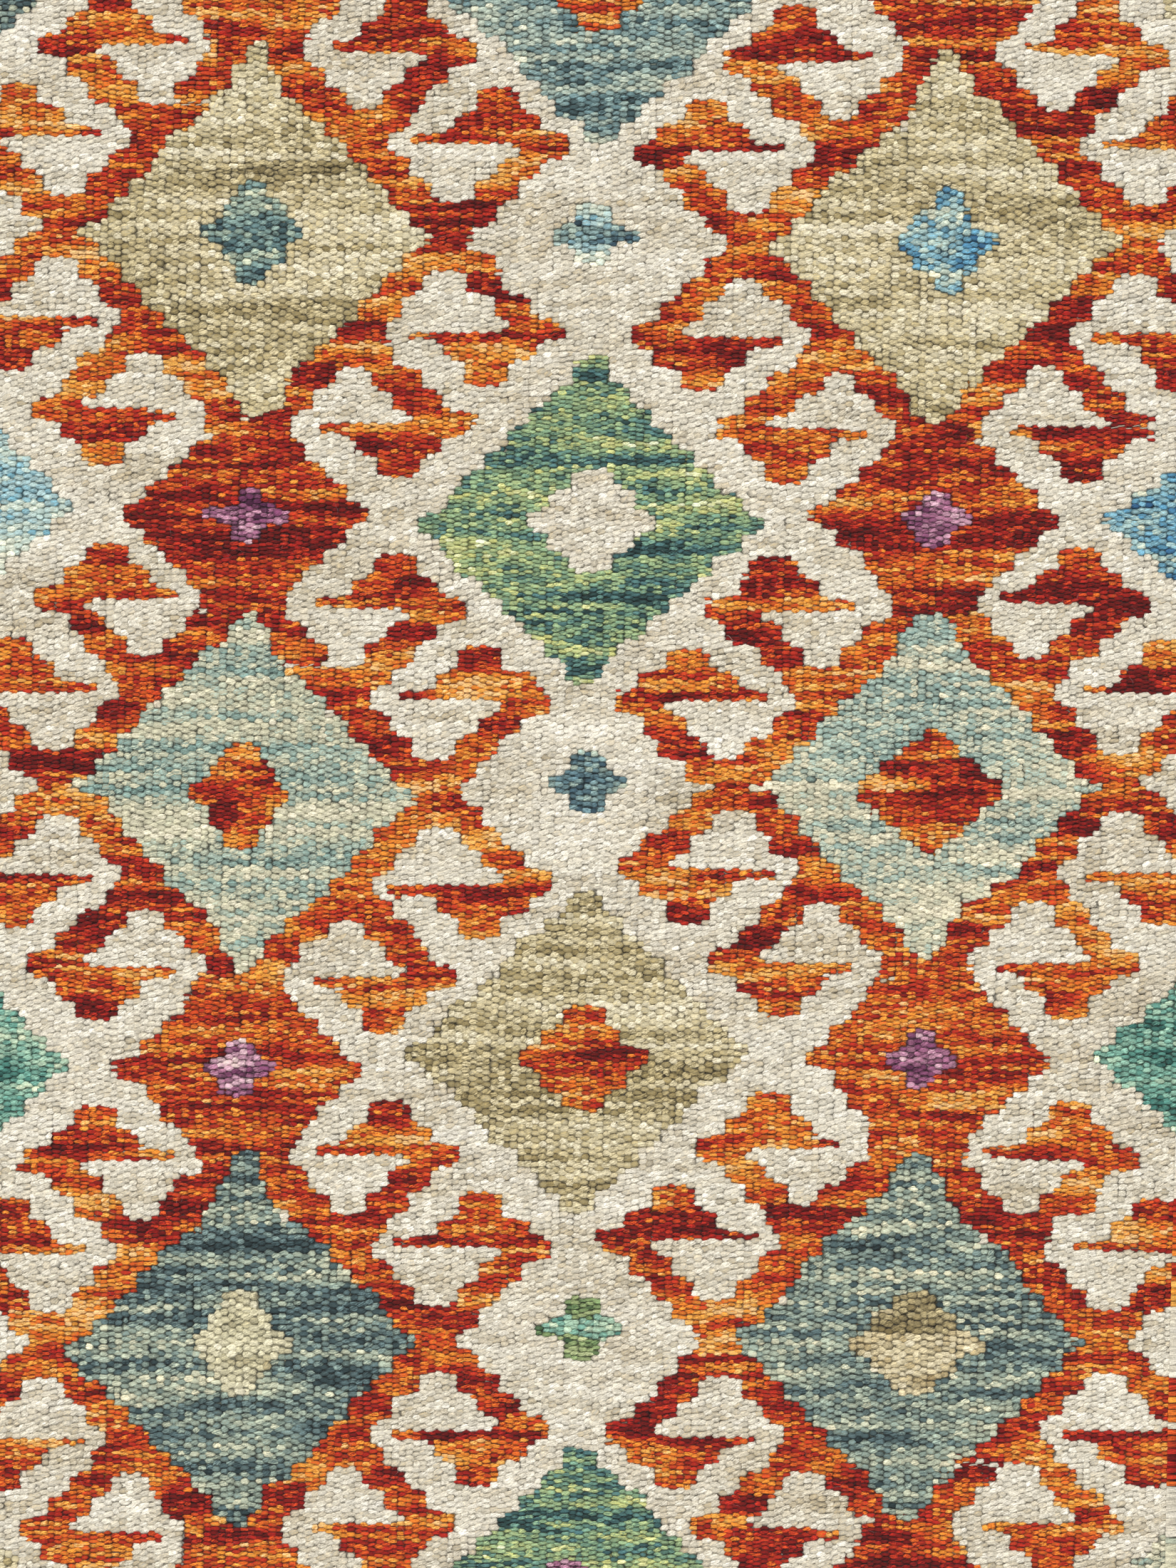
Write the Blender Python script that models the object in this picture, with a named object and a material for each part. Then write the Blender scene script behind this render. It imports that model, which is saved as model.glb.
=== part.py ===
"""Cut length of a hand-woven kilim rug, modelled as one flat cloth.

A kilim is a weft-faced plain weave. The weft hides the warp and swells over each end, so the
face is a row of fine lengthwise ribs, one to a warp end. At both sides the weft turns round
a pair of outer ends and makes a firm corded selvedge. The two short ends are cut across.

Frame: X across the cloth, Y along the warp, Z up. The origin is the centre of the underside.
"""

import math

import bmesh
import bpy
from mathutils import Vector

# Weave, in metres
WARP_PITCH = 0.00336
WARP_ENDS = 172
STEP_HEIGHT = 0.00987
STEP_ROWS = 77

# Cloth, in metres
RIB_CREST = 0.0033
RIB_VALLEY = 0.0028
SELVEDGE_CREST = 0.0036
SELVEDGE_ENDS = 2

# Unevenness of hand weaving
LEAN = math.tan(math.radians(0.4))
WEFT_SLOPE = math.tan(math.radians(0.4))
TAPER = 0.012
SIDE_WANDER = 0.0007
END_WANDER = 0.0009
COCKLE = 0.00012

# Mesh
SECTIONS = 8
SELVEDGE_SIDES = 6

# Wool, as the whole cloth looks from a distance
WOOL_COLOR = (0.52, 0.38, 0.27, 1.0)
WOOL_ROUGHNESS = 0.85

WIDTH = WARP_ENDS * WARP_PITCH
LENGTH = STEP_ROWS * STEP_HEIGHT
SELVEDGE_WIDTH = SELVEDGE_ENDS * WARP_PITCH


def clear_scene():
    """Removes every object, so that the file holds the cloth alone."""
    for obj in list(bpy.data.objects):
        bpy.data.objects.remove(obj, do_unlink=True)


def wool_material():
    """The wool of the cloth."""
    material = bpy.data.materials.new("kilim_wool")
    material.use_nodes = True
    shader = material.node_tree.nodes["Principled BSDF"]
    shader.inputs["Base Color"].default_value = WOOL_COLOR
    shader.inputs["Roughness"].default_value = WOOL_ROUGHNESS
    shader.inputs["Metallic"].default_value = 0.0
    return material


def selvedge_section():
    """Points (distance in from the edge, height) round the left selvedge, underside first.

    The selvedge is a flattened cord: a half ellipse whose lowest point lies on the floor.
    """
    half_height = SELVEDGE_CREST / 2
    half_width = SELVEDGE_WIDTH / 2
    points = []
    for i in range(SELVEDGE_SIDES + 1):
        angle = -math.pi / 2 - math.pi * i / SELVEDGE_SIDES
        across = half_width + half_width * math.cos(angle)
        points.append((across, half_height + half_height * math.sin(angle)))
    return points


def rib_section():
    """Points (x, height) of the ribbed face, from the left selvedge to the right one."""
    first = -WIDTH / 2 + SELVEDGE_WIDTH
    points = [(first, RIB_VALLEY)]
    for end in range(WARP_ENDS - 2 * SELVEDGE_ENDS):
        left = first + end * WARP_PITCH
        points.append((left + WARP_PITCH / 2, RIB_CREST))
        points.append((left + WARP_PITCH, RIB_VALLEY))
    return points


def cloth_section():
    """Points (x, height) round the whole cloth, in order, starting under the left selvedge."""
    left = [(-WIDTH / 2 + across, height) for across, height in selvedge_section()]
    right = [(-x, height) for x, height in reversed(left)]
    return left + rib_section() + right


def laid(x, y, height):
    """A point of the straight cloth, moved to where the uneven hand-woven cloth has it."""
    along = y / LENGTH
    side = 2 * x / WIDTH
    drift = SIDE_WANDER * math.sin(2 * math.pi * (1.3 * along + 0.15 * side))
    bow = END_WANDER * math.sin(2 * math.pi * (0.45 * side + 0.1))
    cockle = COCKLE * math.sin(9.0 * along + 2.0 * side) * math.sin(4.2 * side)
    raised = height + cockle * height / RIB_CREST
    return Vector((x * (1 + TAPER * along) + LEAN * y + drift, y + WEFT_SLOPE * x + bow, raised))


def build_cloth():
    """The cloth as one closed solid, lofted through its cross-sections."""
    section = cloth_section()
    mesh = bmesh.new()
    rings = []
    for i in range(SECTIONS + 1):
        y = LENGTH * (i / SECTIONS - 0.5)
        rings.append([mesh.verts.new(laid(x, y, height)) for x, height in section])
    for ring, following in zip(rings, rings[1:]):
        for k in range(len(section)):
            after = (k + 1) % len(section)
            mesh.faces.new((ring[k], following[k], following[after], ring[after]))
    mesh.faces.new(rings[0])
    mesh.faces.new(reversed(rings[-1]))
    bmesh.ops.recalc_face_normals(mesh, faces=mesh.faces)
    data = bpy.data.meshes.new("kilim_cloth")
    mesh.to_mesh(data)
    mesh.free()
    cloth = bpy.data.objects.new("kilim_cloth", data)
    bpy.context.scene.collection.objects.link(cloth)
    cloth.data.materials.append(wool_material())
    return cloth


def main():
    """Clears the scene and builds the cloth."""
    clear_scene()
    build_cloth()


main()
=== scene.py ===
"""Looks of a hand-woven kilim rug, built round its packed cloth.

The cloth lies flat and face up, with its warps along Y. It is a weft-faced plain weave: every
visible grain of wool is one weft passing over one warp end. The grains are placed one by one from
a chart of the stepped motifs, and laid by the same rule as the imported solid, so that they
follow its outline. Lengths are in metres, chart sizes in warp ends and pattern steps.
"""

import logging
import math
from collections.abc import Sequence
from dataclasses import dataclass, field
from enum import Enum
from typing import Any

import bpy
import numpy as np
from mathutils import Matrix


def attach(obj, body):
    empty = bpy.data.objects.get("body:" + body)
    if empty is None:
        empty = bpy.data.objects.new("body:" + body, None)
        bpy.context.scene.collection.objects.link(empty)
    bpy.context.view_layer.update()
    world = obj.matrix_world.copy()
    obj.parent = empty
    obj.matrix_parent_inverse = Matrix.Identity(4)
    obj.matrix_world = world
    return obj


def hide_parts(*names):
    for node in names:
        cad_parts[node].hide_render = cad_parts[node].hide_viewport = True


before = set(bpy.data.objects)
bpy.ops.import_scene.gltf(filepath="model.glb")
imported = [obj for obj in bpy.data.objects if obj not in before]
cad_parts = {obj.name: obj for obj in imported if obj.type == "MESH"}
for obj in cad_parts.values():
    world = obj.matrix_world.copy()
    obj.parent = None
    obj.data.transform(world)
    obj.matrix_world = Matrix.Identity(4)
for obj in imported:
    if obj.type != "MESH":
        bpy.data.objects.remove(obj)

LOG = logging.getLogger("kilim")
CELLS = 20  # chart cells in one pattern step
PRIMES = (73856093, 19349663, 83492791)  # spread the whole numbers that a random number is fixed to
MIXERS = ((15, 2246822519), (13, 3266489917))  # shifts and factors that mix their bits
BITS = 0xFFFFFF  # the bits that are kept
SEEDS = 2147483647  # whole numbers that a seed may become
LUMA = (0.2126, 0.7152, 0.0722)  # shares of red, green and blue in luminance
GAP = 0.002  # free strip round each half of a band in the bake
MARGIN = 0.005  # free strip round the body's faces in the bake
BAKED = {True: (0.0, 0.22, 0.9), False: (0.23, 0.72, 0.946)}  # left, width, height of top and underside
STRIDE = 10  # from one wool's seed to the next's
SPOT = 0.0005  # finest distance at which a grain's random numbers change
# types of the attributes that are no vectors
KINDS = {"form": "INT", "turn": "FLOAT", "grain": "FLOAT", "tone": "FLOAT_COLOR", "ply": "FLOAT_COLOR"}

Array = np.ndarray
Rng = np.random.Generator
Columns = dict[str, Array]
Faces = list[tuple[int, ...]]
Shades = tuple[tuple[int, int, int], ...]


def chance(across: Array, up: Array, seed: int) -> Array:
    """Random numbers from 0 to 1, each one fixed to a pair of whole numbers.

    Args:
        across: The first number of each pair.
        up: The second.
        seed: Fixes what is random.

    Returns:
        The random numbers.
    """
    mixed = (across.astype(np.int64) * PRIMES[0]) ^ (up.astype(np.int64) * PRIMES[1])
    mixed = mixed ^ np.int64(seed * PRIMES[2] % SEEDS)
    for shift, factor in MIXERS:
        mixed = (mixed ^ (mixed >> shift)) * np.int64(factor)
    return ((mixed ^ (mixed >> 16)) & BITS) / float(BITS)


def roll(number: int, key: int, seed: int) -> float:
    """One random number from 0 to 1, fixed to a pair of whole numbers."""
    return float(chance(np.array([number]), np.array([key]), seed)[0])


def swell(across: Array, up: Array, seed: int) -> Array:
    """Smooth noise from -1 to 1 over a plane, with about one swing in a unit.

    Args:
        across: Places across the plane.
        up: Places up it.
        seed: Fixes what is random.

    Returns:
        The noise at each place.
    """
    left, low = np.floor(across), np.floor(up)
    a, b = across - left, up - low
    a, b = a * a * (3 - 2 * a), b * b * (3 - 2 * b)
    bottom = chance(left, low, seed) * (1 - a) + chance(left + 1, low, seed) * a
    top = chance(left, low + 1, seed) * (1 - a) + chance(left + 1, low + 1, seed) * a
    return 2 * (bottom * (1 - b) + top * b) - 1


def linear(color: Array) -> Array:
    """Scene-linear values of sRGB values from 0 to 1."""
    return np.where(color <= 0.04045, color / 12.92, ((color + 0.055) / 1.055) ** 2.4)


@dataclass(frozen=True)
class Loom:
    """Counts of the weave and the unevenness of hand weaving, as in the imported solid.

    Attributes:
        pitch: Distance from one warp end to the next.
        ends: Warp ends across the cloth.
        step: Height of one pattern step.
        rows: Pattern steps along the cloth.
        selvedge: Warp ends in each selvedge.
        lean: Sideways lean of the warps, as a slope.
        weft_slope: Rise of the wefts across the cloth, as a slope.
        taper: Share by which the far end is wider than the middle, doubled.
        side_wander: Waver of the sides.
        end_wander: Bow of the wefts.
        cockle: Rise and fall of the face.
        crest: Height of the ribs.
    """

    pitch: float = 0.00336
    ends: int = 172
    step: float = 0.00987
    rows: int = 77
    selvedge: int = 2
    lean: float = math.tan(math.radians(0.4))
    weft_slope: float = math.tan(math.radians(0.4))
    taper: float = 0.012
    side_wander: float = 0.0007
    end_wander: float = 0.0009
    cockle: float = 0.00012
    crest: float = 0.0033

    @property
    def width(self) -> float:
        """Width of the straight cloth."""
        return self.ends * self.pitch

    @property
    def length(self) -> float:
        """Length of the straight cloth."""
        return self.rows * self.step

    def middle(self, end: Array) -> Array:
        """Middle of each warp end across the straight cloth."""
        return (end + 0.5 - self.ends / 2) * self.pitch

    def lay(self, x: Array, y: Array, height: Array) -> Array:
        """Moves points of the straight cloth to where the uneven cloth has them.

        Args:
            x: Places across the straight cloth.
            y: Places along it.
            height: Heights over the underside.

        Returns:
            The points, one to a row.
        """
        along, side = y / self.length, 2 * x / self.width
        drift = self.side_wander * np.sin(2 * np.pi * (1.3 * along + 0.15 * side))
        bow = self.end_wander * np.sin(2 * np.pi * (0.45 * side + 0.1))
        cockle = self.cockle * np.sin(9.0 * along + 2.0 * side) * np.sin(4.2 * side)
        across = x * (1 + self.taper * along) + self.lean * y + drift
        raised = height + cockle * height / self.crest
        return np.stack([across, y + self.weft_slope * x + bow, raised], axis=-1)


@dataclass(frozen=True)
class Oval:
    """A soft-edged oval: a fold in which the cloth lies, or a patch of painted light or shade on the
    ground.

    Attributes:
        middle: Its middle, across and along the cloth.
        reach: Half its length and half its width, where it is a third as strong.
        turn: Turn of its length from X, in degrees.
        height: A fold's height at its middle, or how far a patch of painted light or shade moves the wool
            along its shades.
    """

    middle: tuple[float, float]
    reach: tuple[float, float]
    turn: float
    height: float

    def over(self, x: Array, y: Array) -> Array:
        """How strong it is at places.

        Args:
            x: Places across the cloth.
            y: Places along it.

        Returns:
            A height or a move of the shade for each place.
        """
        turn = math.radians(self.turn)
        x, y = x - self.middle[0], y - self.middle[1]
        along = (x * math.cos(turn) + y * math.sin(turn)) / self.reach[0]
        across = (y * math.cos(turn) - x * math.sin(turn)) / self.reach[1]
        return self.height * np.exp(-(along**2) - across**2)


FOLDS: tuple[Oval, ...] = (
    Oval((0.006, 0.0165), (0.072, 0.0125), -8.5, 0.0042),
    Oval((0.16, 0.004), (0.115, 0.0125), 0.0, 0.0034),
    Oval((0.0135, -0.0385), (0.04, 0.0115), 5.0, 0.0028),
    Oval((-0.2365, 0.1), (0.048, 0.013), 5.0, 0.003),
)
# painted light and shade of the folds: paler patches where the folds catch the light, darker where they
# turn from it
PAINTED_FOLD_LIGHT: tuple[Oval, ...] = (
    Oval((0.0, 0.025), (0.034, 0.011), 0.0, 0.28),
    Oval((-0.008, -0.03), (0.026, 0.009), 0.0, 0.26),
    Oval((-0.036, -0.006), (0.017, 0.012), 0.0, -0.4),
    Oval((0.045, -0.012), (0.014, 0.018), 0.0, -0.16),
    Oval((0.072, 0.018), (0.012, 0.012), 0.0, 0.24),
)


@dataclass(frozen=True)
class DyeLot:
    """One colour of weft wool, and how unevenly it took the dye.

    Attributes:
        shades: sRGB colours from the darkest strand to the palest.
        picks: Grains of this wool over one end in a pattern step.
        middle: Usual place along the shades, from 0 to 1.
        zone: How far the shade moves from one patch to the next.
        streak: How far it moves along one weft.
        fleck: How far it moves from grain to grain.
        patch: Width and height of a patch.
        thread: Length of weft over which the shade changes.
        slant: Slant of the grains, in degrees.
        marl: How far the yarn's second strand may be from the first.
        batch: How far the shade moves from one bar of a motif to the next; for the ivory, how far the
            painted fold light and shade move it.
        relief: Height of the grains over their foot, as a share of the tallest.
        plump: Thickness of the grains as a share of the usual, which closes the hollows.
        reach: Half-width of a grain, in pitches.
    """

    shades: Shades
    picks: float
    middle: float = 0.5
    zone: float = 0.25
    streak: float = 0.25
    fleck: float = 0.2
    patch: tuple[float, float] = (0.045, 0.02)
    thread: float = 0.022
    slant: float = 0.0
    marl: float = 0.2
    batch: float = 0.0
    relief: float = 0.74
    plump: float = 1.0
    reach: float = 0.86

    def dyed(
        self, x: Array, y: Array, pick: Array, seed: int, shift: Any = 0.0, second: bool = False
    ) -> Array:
        """The wool's colour at each grain.

        Args:
            x: Places across the straight cloth.
            y: Places along it.
            pick: Number of the weft that each grain belongs to.
            seed: Fixes what is random.
            shift: Where the bar that holds each grain is in the wool's range, from -1 to 1; in the ivory
                ground, the painted light and shade of the folds.
            second: Whether it is the yarn's second strand.

        Returns:
            Scene-linear colours with alpha, one to a row.
        """
        # added numbers keep one noise apart from the next, and factors make the finer ones
        zone = swell(x / self.patch[0] + 31.7, y / self.patch[1] + 11.3, seed)
        zone = zone + 0.45 * swell(x / self.patch[0] * 2.3, y / self.patch[1] * 2.6, seed + 1)
        start = 97 * chance(pick, pick * 0, seed + 2)
        streak = 0.85 * swell(x / self.thread + 3.1, pick / 2.2, seed + 3)
        streak = streak + 0.4 * swell(x / self.thread * 1.4 + start, pick, seed + 8)
        grain = np.round(x / SPOT)
        fleck = chance(grain, pick, seed + 4) + chance(grain, pick, seed + 5) - 1
        place = self.middle + self.zone * zone + 1.5 * self.streak * streak + 0.5 * self.fleck * fleck
        place = place + self.batch * shift
        if second:
            place = place + self.marl * (2 * chance(grain, pick, seed + 7) - 1)
        place = np.clip(place, 0, 1) * (len(self.shades) - 1)
        steps = np.arange(len(self.shades))
        table = np.array(self.shades, dtype=float) / 255
        color = np.stack([np.interp(place, steps, table[:, c]) for c in range(3)], axis=-1)
        bright = np.exp(self.fleck * (0.7 * fleck + chance(grain, pick, seed + 6) - 0.5))
        return np.concatenate([linear(color) * bright[:, None], np.ones((len(x), 1))], axis=1)


RUSTS: Shades = (
    (92, 14, 12), (136, 22, 18), (164, 38, 24), (186, 68, 26),
    (202, 104, 32), (216, 136, 46), (228, 164, 76), (238, 192, 132),
)
BEIGES: Shades = ((128, 113, 76), (172, 157, 117), (202, 188, 150), (219, 208, 176), (234, 224, 198))
TEALS: Shades = ((44, 58, 60), (84, 103, 104), (126, 140, 128), (168, 174, 152), (220, 212, 180))
SMOOTH = (0.36, 0.0, 0.64, 1.05)  # marl, batch, relief and plump of the plainest wools


class Wool(Enum):
    """Every lot of weft wool: its shades, then its numbers in the order of DyeLot's fields."""

    IVORY = DyeLot(
        ((168, 153, 124), (199, 187, 163), (217, 208, 188), (230, 222, 204), (239, 232, 217)),
        3.6, 0.5, 0.13, 0.18, 0.17, (0.06, 0.03), 0.03, 8.0, 0.34, 1.0, 0.5, 1.08, 0.93,
    )
    FRAME = DyeLot(RUSTS, 4.6, 0.45, 0.2, 0.22, 0.2, (0.03, 0.008), 0.02, 0.0, 0.27, 0.26)
    CRIMSON = DyeLot(RUSTS, 4.6, 0.32, 0.28, 0.24, 0.2, (0.09, 0.007), 0.03, 0.0, 0.3, 0.1)
    ORANGE = DyeLot(RUSTS, 4.6, 0.42, 0.28, 0.24, 0.2, (0.09, 0.007), 0.03, 0.0, 0.3, 0.1)
    BEIGE_LEFT = DyeLot(BEIGES, 3.1, 0.44, 0.16, 0.27, 0.18, (0.09, 0.012), 0.06, -4.0, *SMOOTH)
    BEIGE_RIGHT = DyeLot(BEIGES, 3.2, 0.46, 0.14, 0.25, 0.18, (0.09, 0.012), 0.06, -4.0, *SMOOTH)
    BEIGE_MIDDLE = DyeLot(BEIGES, 3.3, 0.36, 0.18, 0.28, 0.18, (0.1, 0.009), 0.07, 0.0, *SMOOTH)
    EGG_LEFT = DyeLot(
        ((112, 136, 128), (154, 170, 156), (188, 185, 158), (208, 202, 172), (230, 222, 196)),
        3.4, 0.39, 0.28, 0.27, 0.22, (0.12, 0.014), 0.07, -3.0, *SMOOTH,
    )
    EGG_RIGHT = DyeLot(
        ((119, 140, 132), (162, 178, 164), (196, 192, 165), (214, 206, 177), (235, 225, 197)),
        3.5, 0.44, 0.26, 0.25, 0.22, (0.12, 0.012), 0.07, -3.0, *SMOOTH,
    )
    TEAL_LEFT = DyeLot(TEALS, 3.5, 0.46, 0.13, 0.29, 0.4, (0.11, 0.005), 0.05)
    TEAL_RIGHT = DyeLot(TEALS, 3.5, 0.45, 0.14, 0.28, 0.38, (0.11, 0.006), 0.05)
    GREEN = DyeLot(
        (
            (42, 66, 64), (70, 106, 108), (98, 132, 114), (128, 152, 114),
            (156, 174, 126), (188, 188, 116), (216, 216, 158), (224, 230, 202),
        ),
        4.6, 0.38, 0.24, 0.2, 0.4, (0.07, 0.007), 0.028,
    )
    SLATE = DyeLot(
        ((54, 72, 74), (98, 124, 126), (142, 158, 148), (174, 182, 164), (220, 216, 190)),
        3.6, 0.48, 0.18, 0.28, 0.4, (0.09, 0.007), 0.05,
    )
    SKY = DyeLot(
        ((46, 86, 122), (82, 136, 164), (134, 170, 176), (180, 192, 176), (222, 216, 186)),
        3.5, 0.42, 0.2, 0.24, 0.42, (0.03, 0.01), 0.02,
    )
    BLUE = DyeLot(
        ((58, 80, 84), (100, 126, 124), (136, 154, 140), (174, 182, 158), (218, 210, 178)),
        3.5, 0.41, 0.16, 0.28, 0.44, (0.04, 0.008), 0.03,
    )
    PALE_BLUE = DyeLot(
        ((104, 150, 164), (156, 184, 186), (188, 204, 192), (212, 216, 196), (234, 228, 204)),
        3.5, 0.5, 0.24, 0.24, 0.3, (0.06, 0.012), 0.04,
    )
    SEA = DyeLot(
        ((50, 94, 86), (90, 138, 124), (128, 168, 148), (166, 192, 166), (212, 218, 186)),
        3.8, 0.43, 0.18, 0.28, 0.4, (0.06, 0.01), 0.04,
    )
    STEEL = DyeLot(
        ((46, 66, 78), (82, 108, 116), (122, 144, 140), (172, 180, 160)),
        3.7, 0.45, 0.16, 0.28, 0.5, (0.02, 0.01), 0.02,
    )
    MAUVE = DyeLot(
        ((74, 32, 60), (114, 62, 92), (152, 100, 124), (190, 152, 164), (214, 190, 184)),
        3.9, 0.44, 0.1, 0.26, 0.46, (0.02, 0.01), 0.02,
    )
    CREAM = DyeLot(
        ((150, 138, 104), (190, 182, 148), (216, 208, 176), (236, 228, 202)),
        2.8, 0.5, 0.14, 0.18, 0.28, (0.03, 0.012), 0.03,
    )
    OLIVE = DyeLot(
        ((100, 86, 54), (144, 130, 94), (188, 174, 134)), 2.9, 0.45, 0.14, 0.2, 0.24, (0.03, 0.012), 0.03
    )
    SAND = DyeLot(
        ((140, 120, 82), (176, 158, 118), (204, 190, 154), (224, 214, 188)),
        3.2, 0.45, 0.14, 0.24, 0.26, (0.03, 0.012), 0.03,
    )
    MOSS = DyeLot(
        ((62, 88, 60), (106, 126, 82), (144, 156, 108), (190, 194, 150)),
        4.2, 0.46, 0.16, 0.28, 0.44, (0.02, 0.01), 0.02,
    )


LOTS: tuple[Wool, ...] = tuple(Wool)


@dataclass(frozen=True)
class Bar:
    """One straight-sided part of a stepped motif, in the motif's upper right quarter.

    Attributes:
        low: Lower edge, in steps from the motif's middle.
        high: Upper edge, in steps.
        outer: Edge further from the middle, in warp ends.
        inner: Edge nearer the middle, in ends.
    """

    low: float
    high: float
    outer: float
    inner: float = 0.0


def bars(*rows: tuple[float, ...]) -> tuple[Bar, ...]:
    """Bars from rows of their lower, upper, outer and inner edges."""
    return tuple(Bar(*row) for row in rows)


def stepped(*sizes: tuple[float, float]) -> tuple[Bar, ...]:
    """Bars of a stepped diamond.

    Args:
        sizes: (Upper edge in steps, half-width in ends) of each bar, from the middle up.

    Returns:
        The bars, which mirror into the whole diamond.
    """
    lows = [0.0] + [high for high, _ in sizes[:-1]]
    return bars(*((low, high, half) for low, (high, half) in zip(lows, sizes)))


class Shape(Enum):
    """Stepped shapes of the chart, each drawn as its upper right quarter."""

    FIELD = stepped(
        (0.6, 24), (1.6, 21), (2.7, 18), (3.85, 15), (4.95, 12), (5.8, 9), (6.8, 6), (8.1, 3.5), (9.1, 1.5)
    )
    HOOKED_FRAME = bars(
        (0.0, 0.6, 30, 20), (0.6, 1.65, 33, 18), (1.65, 2.75, 24, 15), (2.75, 3.85, 21, 12),
        (3.85, 5.0, 18, 9), (1.65, 2.75, 36, 30), (2.75, 3.75, 39, 33), (3.75, 4.4, 43, 36),
        (4.42, 4.84, 43, 21.5), (4.4, 4.9, 43, 25), (4.9, 5.85, 40, 27), (5.85, 7.0, 36, 30),
        (5.0, 6.05, 20, 6), (6.0, 7.1, 12, 3), (6.9, 8.2, 9), (7.95, 9.6, 6),
        (6.05, 7.15, 23.5, 17), (7.15, 8.2, 26.5, 20), (8.2, 8.85, 30.5, 23), (8.86, 9.28, 30.5, 10),
        (8.78, 9.35, 30, 13), (9.35, 10.3, 26.5, 14.5), (10.3, 11.4, 23.5, 17.5),
    )
    KNOT = stepped((0.55, 17), (1.55, 14), (2.5, 11), (3.5, 8), (4.5, 6))
    LOZENGE = stepped(
        (0.5, 24), (1.5, 21), (2.5, 17.5), (3.5, 14.5), (4.5, 11.5), (5.5, 8.5), (6.5, 5.5), (7.6, 2.5)
    )
    HEART = stepped((0.5, 7), (1.5, 4.5), (2.5, 2.2))
    WIDE_HEART = stepped((0.5, 9), (1.5, 6), (2.45, 3))
    TALL_HEART = stepped((0.6, 10), (1.5, 7), (2.3, 4), (3.0, 1.5))
    CROSS = stepped((0.42, 4.7), (1.4, 2.0))
    WIDE_CROSS = stepped((0.42, 5.4), (1.5, 2.5))
    BEAM = stepped((0.42, 5.4))
    CAP = bars((0.5, 1.5, 6), (1.5, 2.45, 3))
    TIP = bars((7.0, 9.7, 1.7))
    LINE = bars((0.0, 0.16, 12))


Drift = tuple[float, float]
STEADY: tuple[Drift, ...] = ((0.0, 0.0),) * 4


@dataclass(frozen=True)
class Motif:
    """A shape in one wool, as the weaver set it by eye.

    Attributes:
        shape: The shape.
        wool: Its wool.
        across: Its middle, in ends from the cloth's middle.
        up: Its middle, in steps from the cloth's middle.
        drifts: How far each quarter strayed, in ends and steps: upper left, upper right, lower
            left, lower right.
        ways: The halves that are woven, 1 for the upper and -1 for the lower.
    """

    shape: Shape
    wool: Wool
    across: float
    up: float
    drifts: tuple[Drift, ...] = STEADY
    ways: tuple[int, ...] = (-1, 1)

    def drift(self, side: int, way: int) -> Drift:
        """How far a quarter strayed."""
        return self.drifts[(way < 0) * 2 + (side > 0)]


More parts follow.
